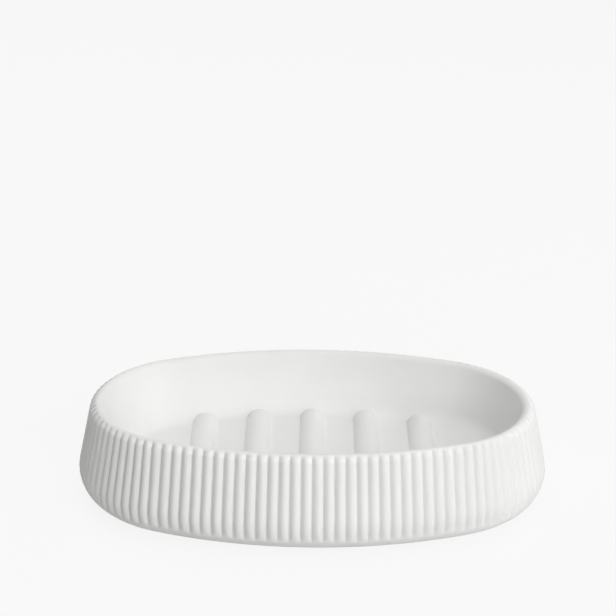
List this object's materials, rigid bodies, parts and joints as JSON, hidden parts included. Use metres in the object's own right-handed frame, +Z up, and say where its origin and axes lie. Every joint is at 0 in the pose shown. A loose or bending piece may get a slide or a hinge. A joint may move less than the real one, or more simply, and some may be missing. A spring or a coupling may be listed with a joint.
{
  "type": "soap dish",
  "caption": "Oval soap dish with a fluted, inward-leaning wall, a rounded rim, domed ridges across the floor of its bowl and non-slip pads under its foot.",
  "frame": {"origin": "centre of the footprint, on the surface that the pads stand on", "axes": "+Z up out of the bowl, +X along the long axis of the oval, +Y across the dish towards its back"},
  "size_m": [0.13, 0.0782, 0.0283],
  "materials": {
    "casting": "matte to satin cast resin",
    "pad": "matte"
  },
  "bodies": {
    "root": {"dish": "casting", "foot_pad_front_left": "pad", "foot_pad_front_right": "pad", "foot_pad_rear_left": "pad", "foot_pad_rear_right": "pad"}
  },
  "joints": []
}
